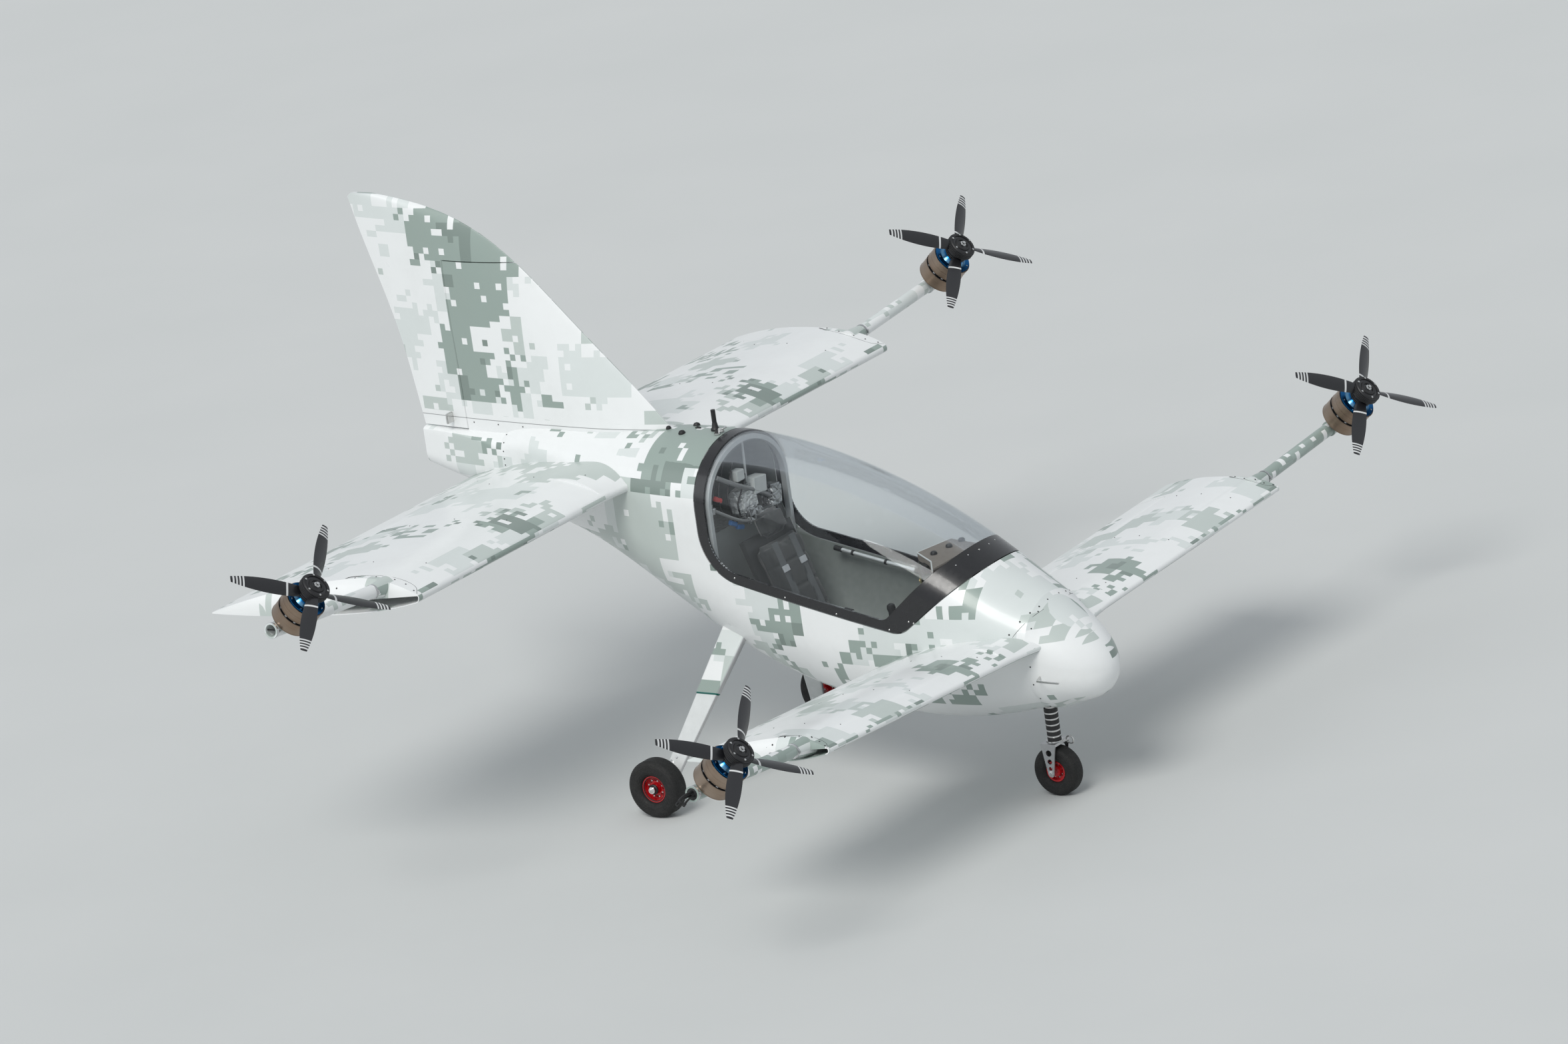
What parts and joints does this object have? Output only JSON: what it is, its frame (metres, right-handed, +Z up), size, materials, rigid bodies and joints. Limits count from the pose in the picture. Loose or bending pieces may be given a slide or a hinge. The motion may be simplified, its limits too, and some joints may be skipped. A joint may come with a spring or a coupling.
{
  "type": "electric vertical takeoff aircraft",
  "caption": "Tandem-wing single-seat electric vertical takeoff aircraft with wing-tip motor pods, tilting canopy, rudder, elevons and tricycle gear.",
  "frame": {"origin": "centre of the plan box, on the ground under the parked tyres", "axes": "+X to port, +Y aft, +Z up"},
  "size_m": [5.8886, 4.0243, 2.714],
  "materials": {
    "battery_case": "matte",
    "black_blade": "satin",
    "black_frame": "gloss",
    "black_plastic": "matte",
    "blue_anodised": "satin",
    "boom_tube": "gloss",
    "bracket_alloy": "satin",
    "cabin_grey": "matte",
    "clear_canopy": "gloss",
    "equipment": "matte",
    "fork_alloy": "satin",
    "hoop_grey": "satin",
    "motor_bronze": "satin",
    "red_rim": "satin",
    "seat_cover": "matte",
    "strut_rubber": "matte",
    "tyre_rubber": "matte",
    "white_composite": "gloss"
  },
  "bodies": {
    "airframe": {"aerial": "black_plastic", "battery_floor": "battery_case", "battery_nose": "battery_case", "bulkhead": "cabin_grey", "cabin_floor": "cabin_grey", "canopy_brackets": "bracket_alloy", "control_stick": "black_plastic", "equipment_bay": "equipment", "fin": "white_composite", "front_boom_left": "boom_tube", "front_boom_right": "boom_tube", "front_flange_left": "blue_anodised", "front_flange_right": "blue_anodised", "front_motor_left": "motor_bronze", "front_motor_right": "motor_bronze", "front_wing_left": "white_composite", "front_wing_right": "white_composite", "fuselage": "white_composite", "instrument_panel": "black_plastic", "leg_left": "white_composite", "leg_right": "white_composite", "nose_cone": "white_composite", "nose_strut": "strut_rubber", "rear_boom_left": "boom_tube", "rear_boom_right": "boom_tube", "rear_flange_left": "blue_anodised", "rear_flange_right": "blue_anodised", "rear_motor_left": "motor_bronze", "rear_motor_right": "motor_bronze", "rear_wing_left": "white_composite", "rear_wing_right": "white_composite", "roll_hoop": "hoop_grey", "seat": "seat_cover", "tail_cone": "white_composite"},
    "canopy": {"canopy_frame": "black_frame", "canopy_glass": "clear_canopy"},
    "rudder": {"rudder": "white_composite"},
    "front_elevon_left": {"front_elevon_left": "white_composite"},
    "front_prop_low_left": {"front_prop_low_left": "black_blade"},
    "front_prop_top_left": {"front_prop_top_left": "black_blade"},
    "front_elevon_right": {"front_elevon_right": "white_composite"},
    "front_prop_low_right": {"front_prop_low_right": "black_blade"},
    "front_prop_top_right": {"front_prop_top_right": "black_blade"},
    "rear_elevon_left": {"rear_elevon_left": "white_composite"},
    "rear_prop_low_left": {"rear_prop_low_left": "black_blade"},
    "rear_prop_top_left": {"rear_prop_top_left": "black_blade"},
    "rear_elevon_right": {"rear_elevon_right": "white_composite"},
    "rear_prop_low_right": {"rear_prop_low_right": "black_blade"},
    "rear_prop_top_right": {"rear_prop_top_right": "black_blade"},
    "main_wheel_left": {"main_tyre_left": "tyre_rubber", "main_rim_left": "red_rim"},
    "main_wheel_right": {"main_tyre_right": "tyre_rubber", "main_rim_right": "red_rim"},
    "nose_fork": {"nose_fork": "fork_alloy"},
    "nose_wheel": {"nose_tyre": "tyre_rubber", "nose_rim": "red_rim"}
  },
  "joints": [
    {"name": "canopy_hinge", "type": "hinge", "parent": "airframe", "child": "canopy", "pos_m": [0, -1.53988, 1.015], "axis": [1, 0, 0], "range_deg": [0, 50]},
    {"name": "rudder_hinge", "type": "hinge", "parent": "airframe", "child": "rudder", "pos_m": [0, 1.50612, 1.588], "axis": [0, 0, 1], "range_deg": [-25, 25]},
    {"name": "front_elevon_left_hinge", "type": "hinge", "parent": "airframe", "child": "front_elevon_left", "pos_m": [1.11083, -1.21474, 0.7868], "axis": [0.9987, 0, 0.0506], "range_deg": [-20, 20]},
    {"name": "front_elevon_right_hinge", "type": "hinge", "parent": "airframe", "child": "front_elevon_right", "pos_m": [-1.11083, -1.21474, 0.7868], "axis": [0.9987, 0, -0.0506], "range_deg": [-20, 20]},
    {"name": "front_prop_low_left_spin", "type": "hinge", "parent": "airframe", "child": "front_prop_low_left", "pos_m": [2.6, -1.61988, 0.942], "axis": [0, -0.7431, 0.6691], "continuous": true},
    {"name": "front_prop_top_left_spin", "type": "hinge", "parent": "airframe", "child": "front_prop_top_left", "pos_m": [2.6, -1.61988, 0.942], "axis": [0, -0.7431, 0.6691], "continuous": true},
    {"name": "front_prop_low_right_spin", "type": "hinge", "parent": "airframe", "child": "front_prop_low_right", "pos_m": [-2.6, -1.61988, 0.942], "axis": [0, -0.7431, 0.6691], "continuous": true},
    {"name": "front_prop_top_right_spin", "type": "hinge", "parent": "airframe", "child": "front_prop_top_right", "pos_m": [-2.6, -1.61988, 0.942], "axis": [0, -0.7431, 0.6691], "continuous": true},
    {"name": "rear_elevon_left_hinge", "type": "hinge", "parent": "airframe", "child": "rear_elevon_left", "pos_m": [1.0925, 1.22961, 1.39629], "axis": [1, 0, 0], "range_deg": [-20, 20]},
    {"name": "rear_elevon_right_hinge", "type": "hinge", "parent": "airframe", "child": "rear_elevon_right", "pos_m": [-1.0925, 1.22961, 1.39629], "axis": [1, 0, 0], "range_deg": [-20, 20]},
    {"name": "rear_prop_low_left_spin", "type": "hinge", "parent": "airframe", "child": "rear_prop_low_left", "pos_m": [2.6, 0.60212, 1.54], "axis": [0, -0.7193, 0.6947], "continuous": true},
    {"name": "rear_prop_top_left_spin", "type": "hinge", "parent": "airframe", "child": "rear_prop_top_left", "pos_m": [2.6, 0.60212, 1.54], "axis": [0, -0.7193, 0.6947], "continuous": true},
    {"name": "rear_prop_low_right_spin", "type": "hinge", "parent": "airframe", "child": "rear_prop_low_right", "pos_m": [-2.6, 0.60212, 1.54], "axis": [0, -0.7193, 0.6947], "continuous": true},
    {"name": "rear_prop_top_right_spin", "type": "hinge", "parent": "airframe", "child": "rear_prop_top_right", "pos_m": [-2.6, 0.60212, 1.54], "axis": [0, -0.7193, 0.6947], "continuous": true},
    {"name": "main_wheel_left_spin", "type": "hinge", "parent": "airframe", "child": "main_wheel_left", "pos_m": [0.7, 0.14012, 0.138], "axis": [1, 0, 0], "continuous": true},
    {"name": "main_wheel_right_spin", "type": "hinge", "parent": "airframe", "child": "main_wheel_right", "pos_m": [-0.7, 0.14012, 0.138], "axis": [1, 0, 0], "continuous": true},
    {"name": "nose_steer", "type": "hinge", "parent": "airframe", "child": "nose_fork", "pos_m": [0, -1.62888, 0.234], "axis": [0, 0, 1], "range_deg": [-30, 30]},
    {"name": "nose_wheel_spin", "type": "hinge", "parent": "nose_fork", "child": "nose_wheel", "pos_m": [0, -1.62888, 0.117], "axis": [1, 0, 0], "continuous": true}
  ]
}
